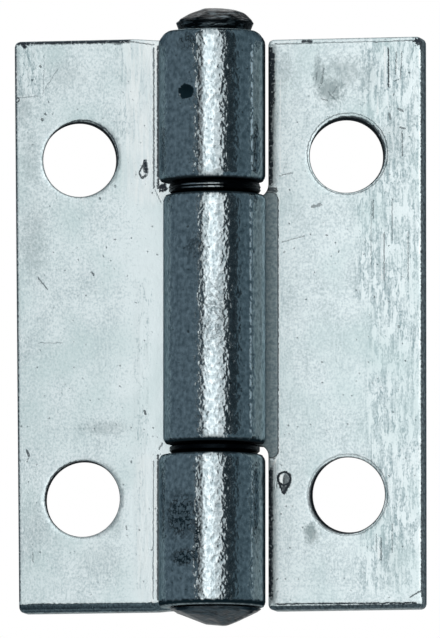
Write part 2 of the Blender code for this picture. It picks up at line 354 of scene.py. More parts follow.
class Nodes:
    """Adds shader nodes to a material or the world, and gives back their outputs."""

    def __init__(self, owner):
        self.owner = owner
        owner.use_nodes = True
        self.tree = owner.node_tree
        self.shader = self.tree.nodes.get("Principled BSDF") or self.tree.nodes["Background"]

    def add(self, kind, inputs=(), **settings):
        """A shader node of this kind. inputs maps each socket's name or number to a value or an
        output."""
        node = self.tree.nodes.new("ShaderNode" + kind)
        for key, value in settings.items():
            setattr(node, key, value)
        for socket, value in dict(inputs).items():
            if isinstance(value, bpy.types.NodeSocket):
                self.tree.links.new(value, node.inputs[socket])
            else:
                node.inputs[socket].default_value = value
        return node

    def math(self, operation, first, second=0, third=0):
        return self.add("Math", {0: first, 1: second, 2: third}, operation=operation).outputs[0]

    def product(self, first, second):
        return self.math("MULTIPLY", first, second)

    def larger(self, first, second):
        return self.math("MAXIMUM", first, second)

    def weighed(self, value, weight, base):
        """value times weight, on top of base."""
        return self.math("MULTIPLY_ADD", value, weight, base)

    def vector(self, operation, first, second=(0, 0, 0)):
        made = self.add("VectorMath", {0: first, 1: second}, operation=operation)
        return made.outputs["Vector"]

    def wire(self, socket, output):
        """Feeds an output to the owner's own shader."""
        self.tree.links.new(output, self.shader.inputs[socket])

    def noise(self, place, stretch, detail=2, roughness=0.5, offset=(0, 0, 0), output="Fac"):
        """Noise whose cells number stretch per millimetre along each direction of place."""
        setting = {"Vector": place, "Scale": stretch, "Location": offset}
        spot = self.add("Mapping", setting).outputs[0]
        cells = {"Vector": spot, "Scale": 1, "Detail": detail, "Roughness": roughness}
        return self.add("TexNoise", cells).outputs[output]

    def between(self, value, low, high, start=0, end=1):
        """Takes low..high to start..end in a straight line, and holds it there outside."""
        ends = {"Value": value, "From Min": low, "From Max": high, "To Min": start, "To Max": end}
        return self.add("MapRange", ends, clamp=True).outputs[0]

    def band(self, value, middle, half, soft, strength=1):
        """strength where value is within half of middle, falling to 0 over soft beyond it."""
        off = self.math("ABSOLUTE", self.math("SUBTRACT", value, middle))
        return self.between(off, half, half + soft, strength, 0)

    def mix(self, share, *pair):
        """A colour between two, by share. Each is an output, or red, green and blue."""
        first, second = ((*colour, 1) if isinstance(colour, tuple) else colour for colour in pair)
        return self.add("Mix", {0: share, 6: first, 7: second}, data_type="RGBA").outputs[2]

    def away(self, spot, found, centre, half=(0, 0), spin=0, scale=(1, 1)):
        """Distance of a spot from a turned box: the length of what is left of the offset from its
        centre once its half size is taken off in each direction. A half size of nought makes a
        point. What was found so far rides along as a third coordinate and is dropped at the end:
        so the marks are worked out one by one, because together they overfill a shader's memory."""
        place = self.add("CombineXYZ", {0: spot[0], 1: spot[1], 2: found}).outputs[0]
        setting = {"Vector": place, "Location": (*centre, 0), "Scale": (*scale, 1)}
        setting["Rotation"] = (0, 0, math.radians(spin))
        turned = self.add("Mapping", setting, vector_type="TEXTURE").outputs[0]
        past = self.vector("SUBTRACT", self.vector("ABSOLUTE", turned), (*half, 0))
        past = self.vector("MULTIPLY", self.vector("MAXIMUM", past), (1, 1, 0))
        return self.add("VectorMath", {0: past}, operation="LENGTH").outputs["Value"]

    def strokes(self, spot, found, marks):
        """Adds soft lines. Each is its two ends, width and strength."""
        for x, y, end_x, end_y, width, strength in marks:
            spin = math.degrees(math.atan2(end_y - y, end_x - x))
            middle = ((x + end_x) / 2, (y + end_y) / 2)
            half = math.hypot(end_x - x, end_y - y) / 2
            gap = self.away(spot, found, middle, (half, 0), spin)
            found = self.larger(found, self.between(gap, width * 0.5, width, strength, 0))
        return found

    def shade_rims(self, spot, found, marks):
        """Adds lines round boxes. Each is its centre, half size, distance, half width and strength."""
        for x, y, half_x, half_y, distance, width, strength in marks:
            gap = self.away(spot, found, (x, y), (half_x, half_y))
            found = self.larger(found, self.band(gap, distance, width, 0.03, strength))
        return found

    def patches(self, spot, found, marks, start, end, rough):
        """Adds blots. Each is its centre, radii and strength, with a ragged border from start to end."""
        for x, y, radius_x, radius_y, strength in marks:
            reach = self.away(spot, found, (x, y), scale=(radius_x, radius_y))
            reach = self.math("ADD", reach, rough)
            found = self.larger(found, self.between(reach, start, end, strength, 0))
        return found

    def fills(self, spot, found, marks, rough):
        """Adds filled boxes. Each is its centre, half size, reach and softness."""
        for x, y, half_x, half_y, reach, soft in marks:
            gap = self.away(spot, found, (x, y), (half_x, half_y))
            gap = self.math("ADD", gap, rough)
            found = self.larger(found, self.between(gap, reach, reach + soft, 1, 0))
        return found

    def total(self, *terms, start=0):
        """start plus each (value, weight) with the value taken from its middle of a half."""
        for value, weight in terms:
            start = self.weighed(self.math("SUBTRACT", value, 0.5), weight, start)
        return start


# The finish's colours. Where there are two, the noise runs from the first to the second.
PLATING = ((0.33, 0.44, 0.47), (0.84, 0.95, 0.975))
PLATING_TINT = (0.58, 0.74, 0.75)
STAIN = (0.25, 0.32, 0.33)
# Painted highlight lines.
PAINTED_HIGHLIGHT = ((0.76, 0.86, 0.89), (0.95, 1, 1))
# Scratches, specks and painted shade lines.
DARK_MARK_AND_SHADE = (0.02, 0.03, 0.04)
# Painted shade of a step beside the centre knuckle.
STEP_SHADE = ((0.2, 0.28, 0.31), (0.36, 0.45, 0.48))
# The knuckles' plating is a darker copy of the leaves' plating, painted shade, and its grazing
# reflection is tinted dark.
ROLL_SHADED = ((0.3, 0.375, 0.405), (0.7, 0.79, 0.82))
ROLL_EDGE_ON_SHADED = (0.3, 0.35, 0.38)
# Painted glint.
PAINTED_ROLL_GLINT = (0.62, 0.8, 0.9)
# Grime, and the painted shade on the knuckles.
GRIME_AND_SHADE = (0.006, 0.015, 0.021)
OUTER_WALL = ((0.1, 0.13, 0.145), (0.34, 0.43, 0.46))
# Painted shade inside the holes and notches.
INNER_WALL_SHADE = (0.012, 0.018, 0.022)
PLAIN_EDGE_ON = (1, 1, 1)

# The noises of the finish, with cells per millimetre, detail, roughness and offset. Mill lines and
# worms are long in the direction of the pin, which is the way the strip was rolled.
GRAINS = {
    "fine": ((9, 7, 1), 2, 0.6),
    "spots": ((3.4, 2.4, 1), 3, 0.6, (31, 7, 0)),
    "cloud": ((0.6, 0.4, 1), 2, 0.55, (3, 11, 0)),
    "lines": ((6.5, 0.45, 1), 2, 0.6, (8, 2, 0)),
    "worms": ((3.6, 1, 1), 2, 0.55, (15, 4, 0)),
    "tint": ((0.35, 0.3, 1), 1, 0.5, (17, 5, 0)),
    "speck": ((4.5, 4.5, 1), 1, 0.4, (51, 23, 0)),
    "peel": ((5.2, 3.4, 1), 1.5, 0.5, (9, 2, 0)),
}


def grains(made, strip):
    """The noises that the finish shares, each drawn on the flat strip, and a shaky place on it."""
    place = made.vector("MULTIPLY", strip, (1, 1, 0))
    shake = made.noise(place, (7, 7, 1), 2, 0.6, output="Color")
    shake = made.vector("MULTIPLY", made.vector("SUBTRACT", shake, (0.5, 0.5, 0.5)), (0.15, 0.15, 0))
    grain = {name: made.noise(place, *setting) for name, setting in GRAINS.items()}
    grain["ragged"] = made.noise(strip, (5, 5, 2.5), 3, 0.7)
    grain["shaky"] = made.add("SeparateXYZ", {0: made.vector("ADD", place, shake)}).outputs
    return grain


def face_colour(made, leaf, grain, spot, face):
    """Colour of the flat face, and where it is streaked, where it carries marks and painted shade, and
    where painted shade lies on its foot. Mill lines grow stronger in the leaf's streaks, and worms, the
    crusts of the plating, show in its streaks and stains. Painted highlight lines and brighter bands
    are added too."""
    fine, spots, lines, worms = (grain[name] for name in ("fine", "spots", "lines", "worms"))
    shaky = grain["shaky"]
    zone = made.fills(shaky, 0, leaf["streaks"], 0)
    blotch = made.total((spots, 1.6), (fine, 0.8))
    soil = made.patches(spot, 0, leaf["stains"], 0.4, 1.1, blotch)
    cells = made.larger(zone, soil)
    contour = made.product(made.band(worms, 0.5, 0.008, 0.025), cells)
    tone = made.total((fine, 1.7), (spots, 0.9), (grain["cloud"], 0.7), start=leaf["tone"])
    streaks = (lines, made.between(zone, 0, 1, 0.35, 2.2))
    tone = made.total(streaks, (worms, made.between(cells, 0, 1, 0, leaf["worms"])), start=tone)
    tone = made.weighed(contour, -0.6, tone)
    tone = made.weighed(made.band(spots, 0.5, 0.008, 0.02), -0.14, tone)
    # Painted light: bands along the strip are made lighter and darker, the left leaf brightest next to
    # its knuckles.
    for start, end, gain in leaf["painted_glow"]:
        tone = made.math("ADD", tone, made.between(spot[0], start, end, 0, gain))
    colour = made.mix(made.between(tone, 0, 1), *PLATING)
    colour = made.mix(made.between(grain["tint"], 0.45, 0.7, 0, 0.5), colour, PLATING_TINT)
    colour = made.mix(made.product(soil, face), colour, STAIN)

    # Painted highlights: bright lines along edges, notch corners and the sides of scratches and punch
    # marks, and a broad painted reflection of the knuckle on the face beside it.
    painted_highlight_mask = made.product(made.strokes(shaky, 0, leaf["painted_highlights"]), face)
    colour = made.mix(painted_highlight_mask, colour, made.mix(made.between(lines, 0.38, 0.62), *PAINTED_HIGHLIGHT))
    # Dark scratches and specks, and painted shade: lines along the sheared edges, in the creases beside
    # the knuckles and along the notch edges, and round the holes, the punch marks and the step.
    marks_and_shade = made.strokes(shaky, made.between(grain["speck"], 0.72, 0.78, 0, 0.6), leaf["dark_marks_and_shade"])
    marks_and_shade = made.fills(shaky, marks_and_shade, leaf["shade_bands"], made.total((fine, 0.3), (spots, 0.3)))
    marks_and_shade = made.product(marks_and_shade, made.between(fine, 0.6, 0.68, 1, 0.35))
    marks_and_shade = made.product(made.shade_rims(shaky, marks_and_shade, leaf["shade_rims"]), face)
    colour = made.mix(marks_and_shade, colour, DARK_MARK_AND_SHADE)
    # Painted shade on the rolled-over foot, which faces down.
    foot_shade = made.product(made.fills(spot, 0, leaf["foot_shade_boxes"], made.total((fine, 0.1))), face)
    colour = made.mix(foot_shade, colour, made.mix(made.between(fine, 0.35, 0.7), *leaf["foot_shade"]))
    return colour, zone, marks_and_shade, foot_shade


def roll_colour(made, leaf, grain, spot):
    """Colour of the knuckles, where they are grimy and where shade is painted on them, and where a glint
    is painted. The painted shade line beside each highlight breaks up as the skin's peel does."""
    fine, spots, peel = grain["fine"], grain["spots"], grain["peel"]
    # Painted shade: the knuckles' plating is darker than the leaves', and its tone follows the peel
    # noise that also bumps it, so the peel's cells carry painted shading.
    tone = made.total((fine, 0.5), (grain["lines"], 0.4), (peel, 1.4), start=0.5)
    colour = made.mix(made.between(tone, 0.2, 0.8), *ROLL_SHADED)
    blotch = made.total((spots, 2.4), (fine, 0.6))
    smear = made.patches(spot, 0, leaf["grime"], 0.5, 1.1, blotch)
    cracks = made.product(smear, made.band(spots, 0.5, 0.02, 0.03))
    smear = made.weighed(cracks, 0.9, made.product(smear, 0.3))
    grime = made.larger(made.between(grain["speck"], 0.7, 0.76, 0, 0.7), smear)
    # Painted shade: a line along the left edge of each knuckle's highlight, broken up as the peel is.
    broken = made.between(peel, 0.42, 0.52)
    highlight_edge_shade = made.strokes(grain["shaky"], 0, leaf["roll_shade_lines"])
    grime = made.larger(grime, made.product(highlight_edge_shade, made.between(broken, 0, 1, 0.35, 1)))
    # Painted shade in the pit, on the rounded ends of the knuckles and down their sides.
    grime = made.fills(spot, grime, leaf["roll_shade_boxes"], made.total((fine, 0.15), (spots, 0.2)))
    # Painted glint: a bright line down the flank of each knuckle.
    painted_glint = made.product(made.strokes(grain["shaky"], 0, leaf["painted_roll_glints"]), broken)
    colour = made.mix(painted_glint, made.mix(grime, colour, GRIME_AND_SHADE), PAINTED_ROLL_GLINT)
    return colour, grime, painted_glint


def plated_steel(name, leaf):
    """Zinc plating on a leaf. leaf holds, in millimetres of the flat strip, where its face and its
    knuckles carry marks. The sheared walls have colours of their own: the walls inside the holes and
    notches are painted near black, the shade in them. The strip beside the centre knuckle is painted
    in the shade of a step. Thick grime, the painted shade on the knuckles and the walls inside the
    holes and notches are no longer metal."""
    made = Nodes(bpy.data.materials.new(name))
    strip = made.add("Attribute", attribute_name="strip").outputs["Vector"]
    sheared = made.add("Attribute", attribute_name="sheared").outputs["Fac"]
    across, along, level = made.add("SeparateXYZ", {0: strip}).outputs
    spot = (across, along)
    grain = grains(made, strip)
    fine, spots, ragged = grain["fine"], grain["spots"], grain["ragged"]
    knuckle = made.product(made.between(across, 0.3, -0.5), made.between(level, 0.75, 0.45))
    face = made.product(made.between(level, 0.45, 0.7), made.between(across, 1.6, 2))
    colour, zone, marks_and_shade, foot_shade = face_colour(made, leaf, grain, spot, face)
    rolled_colour, grime, painted_glint = roll_colour(made, leaf, grain, spot)
    colour = made.mix(knuckle, colour, rolled_colour)
    ends = made.between(made.math("ABSOLUTE", along), 14.45, 14.65)
    outer = made.larger(made.between(across, 10.2, 10.5), ends)
    # The outer sheared walls are darker than the face. The walls inside the holes and notches are
    # painted near black, the shade in them.
    wall_colour = made.mix(made.between(ragged, 0.36, 0.64), *OUTER_WALL)
    wall_colour = made.mix(outer, INNER_WALL_SHADE, wall_colour)
    # Painted shade: the strip beside the centre knuckle takes the dark tone of a step, and less metal.
    step_shade = made.product(made.fills(spot, 0, leaf["step_shade"], made.total((fine, 0.06))), face)
    colour = made.mix(step_shade, colour, made.mix(made.between(ragged, 0.4, 0.6), *STEP_SHADE))
    made.wire("Base Color", made.mix(sheared, colour, wall_colour))

    # The painted shade inside the holes and notches, and thick grime and painted shade on the knuckles,
    # lose their metal and their specular.
    inner_wall_shade = made.product(made.between(sheared, 0.8, 1), made.math("SUBTRACT", 1, outer))
    shade_and_crust = made.larger(inner_wall_shade, made.product(made.between(grime, 0.8, 1), knuckle))
    # Painted shade: the knuckles' grazing reflection is tinted dark, so their sides read dark.
    made.wire("Specular Tint", made.mix(knuckle, PLAIN_EDGE_ON, ROLL_EDGE_ON_SHADED))
    made.wire("Specular IOR Level", made.between(shade_and_crust, 0, 1, 0.5, 0))
    metal = made.larger(face, made.between(level, 0.3, 0.1))
    metal = made.between(made.product(metal, made.between(across, -0.5, 0.5)), 0, 1, 1, 0.6)
    metal = made.weighed(step_shade, -0.7, made.larger(metal, foot_shade))
    metal = made.weighed(made.product(painted_glint, knuckle), -0.6, metal)
    made.wire("Metallic", made.weighed(shade_and_crust, -0.9, metal))
    gloss = made.weighed(knuckle, -0.06, made.between(spots, 0.3, 0.7, 0.17, 0.24))
    gloss = made.weighed(sheared, 0.25, made.weighed(painted_glint, 0.3, gloss))
    made.wire("Roughness", made.weighed(marks_and_shade, 0.2, gloss))
    height = made.product(grain["peel"], made.between(knuckle, 0, 1, 0.06, 1))
    height = made.weighed(fine, made.between(knuckle, 0, 1, 0.05, 0.04), height)
    height = made.weighed(made.product(grain["worms"], zone), 0.12, height)
    height = made.weighed(marks_and_shade, -0.3, height)
    height = made.weighed(made.product(ragged, sheared), 0.6, height)
    bump = made.add("Bump", {"Strength": 1, "Distance": 0.04 * MM, "Height": height})
    made.wire("Normal", bump.outputs[0])
    return made.owner


# The marks on each leaf, in millimetres on its flat strip: first the distance from the pin, then the
# height. Distances below nought lie on the knuckles.
left_finish = {
    "tone": 0.81,
    "worms": 1,
    "streaks": [(4.55, 12, 0.75, 2.4, 0, 0.4), (4.1, -6, 0.2, 8, 0, 0.4), (10.3, 13.2, 0.4, 1, 0, 0.3)],
    # Painted light: brighter next to the knuckles, darker towards the outer edge.
    "painted_glow": [(6, 4.6, 0.28), (4.4, 3.8, 0.28), (9, 10.8, -0.1)],
    # Painted shade: a band under the top edge and a black spot in the notch corner.
    "shade_bands": [(7.9, 14.68, 2.85, 0, 0.08, 0.03), (3.085, 6.99, 0.02, 0, 0.19, 0.04)],
    "stains": [
        (6.2, -5.6, 1.5, 0.45, 0.3), (8.3, 13, 1.3, 0.9, 0.14), (10, 4.4, 0.8, 2.6, 0.22),
        (10.2, -11, 1, 2.4, 0.16), (5.6, -10.8, 0.5, 0.6, 0.16), (10.2, 8.6, 0.6, 1.6, 0.16),
        (10.5, 11.4, 0.4, 1.2, 0.25), (6.4, -12.6, 1.6, 1.2, 0.12),
    ],
    # Scratches and specks, and painted shade along the edges, the crease beside the knuckles and round
    # the punch marks.
    "dark_marks_and_shade": [
        (4.07, 8.41, 3.99, 7.85, 0.13, 1), (4.07, 8.41, 4.38, 7.82, 0.06, 0.9),
        (4.38, 7.82, 4.24, 7.54, 0.06, 0.9), (4.24, 7.54, 4, 7.66, 0.08, 0.9),
        (4.1, 8.15, 4.06, 7.9, 0.14, 0.9), (4.55, 7.9, 4.62, 7.6, 0.03, 0.3),
        (9.8, 2.36, 9.32, 1.77, 0.05, 0.6), (6.95, 2.6, 6.83, 2.48, 0.07, 0.7),
        (9.8, -1.07, 8.51, -1.09, 0.035, 0.35), (10.44, -6.75, 10.33, -7, 0.09, 0.8),
        (10.36, -7.15, 10.42, -7.3, 0.05, 0.6), (10.11, -12.1, 10.11, -12.6, 0.035, 0.5),
        (9.68, 13.48, 9.68, 13.44, 0.09, 0.7), (9.44, 11.02, 9.42, 11, 0.08, 0.7),
        (9.6, 10.76, 9.58, 10.7, 0.08, 0.7), (6.48, 6.52, 6.48, 6.46, 0.06, 0.8),
        (5.7, 7.14, 5.68, 7.1, 0.07, 0.5), (4.08, -4.74, 4.04, -4.9, 0.08, 0.8),
        (5.1, -10.8, 5.05, -10.95, 0.06, 0.5), (4.8, -7.4, 4.8, -7.45, 0.06, 0.5),
        (8.74, 13.33, 9.55, 12.19, 0.03, 0.3), (9.81, 11.98, 10.8, 11.9, 0.03, 0.35),
        (9.5, 14, 9.55, 12, 0.03, 0.25), (5.68, 14.48, 5.14, 14.58, 0.06, 0.7),
        (5.1, 14.62, 3.6, 14.48, 0.035, 0.65), (10.84, 14.68, 5, 14.66, 0.17, 1),
        (10.7, 14.8, 10.45, 14.45, 0.14, 1), (10.93, 14.5, 10.93, -14.6, 0.1, 1),
        (3.36, 14.4, 3.36, 7, 0.08, 0.95), (3.6, 14.3, 3.59, 7, 0.05, 0.75),
        (3.6, -7.4, 3.62, -14.6, 0.03, 0.6), (3.53, 6.9, 3.2, 6.2, 0.03, 0.5),
        (3.36, -7.1, 3.36, -14.7, 0.07, 0.9), (3.3, -6.75, 3.15, -6.5, 0.06, 0.6),
        (10.4, -14.82, 3.7, -14.86, 0.045, 1), (3.75, -14.9, 3.4, -15.1, 0.05, 0.8),
    ],
    # Painted highlights, and a painted reflection beside the knuckles.
    "painted_highlights": [
        (3.48, 14.4, 3.47, 7, 0.08, 1), (4.1, 14.3, 4.1, 7.2, 1.4, 0.6), (3.46, 7, 3.2, 6.4, 0.06, 0.8),
        (4.36, 8.35, 4.45, 7.6, 0.05, 0.5), (4.24, 7.8, 4.2, 7.72, 0.11, 0.9),
        (7.17, 2.55, 7.17, 2.5, 0.08, 0.8), (3.49, -7.3, 3.49, -14.6, 0.09, 0.9),
        (3.9, -7.6, 3.9, -14.3, 0.8, 0.4), (3.9, -14.7, 3.5, -14.8, 0.12, 0.8),
        (10.85, 13.9, 10.85, 12.2, 0.04, 0.6), (7.6, 6.9, 7.3, 6.2, 0.07, 0.3),
    ],
    # Painted shade round the holes and a small mark.
    "shade_rims": [
        (7.49, 8.66, 0, 0, 1.98, 0.03, 0.9), (7.54, 8.59, 0, 0, 2.03, 0.012, 0.5),
        (7.42, -9.29, 0, 0, 1.98, 0.02, 0.9), (7.39, -9.33, 0, 0, 2.05, 0.012, 0.45),
        (10.84, 11.79, 0, 0, 0.1, 0.02, 0.8),
    ],
    # Painted shade on the foot.
    "foot_shade_boxes": [(7.3, -15.3, 7, 0, 0.45, 0.04)],
    # No painted step shade on this leaf.
    "step_shade": [],
    # Colours of the painted shade on the foot.
    "foot_shade": ((0.05, 0.075, 0.09), (0.13, 0.19, 0.22)),
    "grime": [
        (-7.7, -10.6, 0.9, 1.3, 1), (-7.4, 14.1, 0.5, 0.5, 0.8), (-7.5, -12.8, 0.8, 0.5, 1),
        (-6.9, -11.6, 0.2, 1.4, 1),
    ],
    # Painted shade along the left edge of each highlight.
    "roll_shade_lines": [(-6.8, 14.5, -6.8, 7.4, 0.15, 0.75), (-6.8, -7.6, -6.8, -14.9, 0.14, 0.7)],
    # Painted shade in the pit, on the knuckles' ends and down their sides.
    "roll_shade_boxes": [
        (-7.45, 11.6, 0, 0, 0.37, 0.03), (-5.5, 14.95, 6, 0, 0.24, 0.1), (-5.5, 7, 6, 0, 0.14, 0.1),
        (-5.5, -7.2, 6, 0, 0.12, 0.1), (-5.5, -15.3, 6, 0, 0.22, 0.1), (-3, 11, 0.4, 8, 0.1, 0.25),
        (-3, -11, 0.4, 8, 0.1, 0.25), (-9.95, 11, 0.3, 8, 0.05, 0.15), (-9.95, -11, 0.3, 8, 0.05, 0.15),
    ],
    # Painted glints down the knuckles' flanks.
    "painted_roll_glints": [(-4.47, 14, -4.47, 7.6, 0.08, 0.9), (-4.47, -8, -4.47, -14.6, 0.06, 0.5)],
}
left_leaf.data.materials.append(plated_steel("left_leaf_plating", left_finish))
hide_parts("leaf_left")
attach(left_leaf, "left")

# The right leaf. It is pressed and rolled in the same way, with one tongue between two notches, so
# its single knuckle turns freely on the pin between the other two.
RIGHT_BORE = 1.5 * MM
RIGHT_WIDTH = 10.77 * MM
RIGHT_NOTCH = 2.55 * MM
RIGHT_TOP = 14.675 * MM
RIGHT_BOTTOM = -15.325 * MM
CENTRE_TOP = 6.37 * MM
CENTRE_BOTTOM = -6.66 * MM
RIGHT_HOLES = [(6.76 * MM, 8.52 * MM), (6.78 * MM, -9.36 * MM)]
RIGHT_LEANS = [(-0.29 * MM, -0.05 * MM), (-0.1 * MM, 0.13 * MM)]


def right_front(points):
    """Roll-over of the right leaf's front face: broad along its foot and its top."""
    falls = [(0.34, 0.24), (0.22, 0.08), (0.12, 0.06), (0.14, 0.06), (0.14, 0.06)]
    drops = face_edges(points, RIGHT_BOTTOM, RIGHT_TOP, RIGHT_WIDTH, RIGHT_HOLES, falls)
    return np.where(points[:, 0] > 0, drops, 0)


def right_back(points):
    """The rounded ends of the centre knuckle."""
    return knuckle_ends(points, 0, [(CENTRE_TOP, -1, 0.34, 0.28), (CENTRE_BOTTOM, 1, 0.34, 0.28)])


right_tip = -roll_length(RIGHT_BORE)
right_corners = [
    (RIGHT_WIDTH, RIGHT_BOTTOM, CORNER),
    (RIGHT_WIDTH, RIGHT_TOP, CORNER),
    (RIGHT_NOTCH, RIGHT_TOP, CORNER),
    (RIGHT_NOTCH, CENTRE_TOP, 0.68 * MM),
    (right_tip, CENTRE_TOP, CORNER),
    (right_tip, CENTRE_BOTTOM, CORNER),
    (RIGHT_NOTCH, CENTRE_BOTTOM, 0.56 * MM),
    (RIGHT_NOTCH, RIGHT_BOTTOM, CORNER),
]
right_flat, right_faces, right_sheared = pressed_blank(
    [right_tip + BREAK, RIGHT_NOTCH + BREAK, RIGHT_WIDTH - BREAK],
    [RIGHT_BOTTOM + BREAK, CENTRE_BOTTOM + BREAK, CENTRE_TOP - BREAK, RIGHT_TOP - BREAK],
    right_corners,
    RIGHT_HOLES,
    right_front,
    right_back,
)
right_points = pierced(right_flat, RIGHT_HOLES, RIGHT_LEANS, 0)
right_leaf = leaf_object(
    "right_leaf_pressed", right_flat, right_points, right_faces, right_sheared, 1, RIGHT_BORE, 0
)
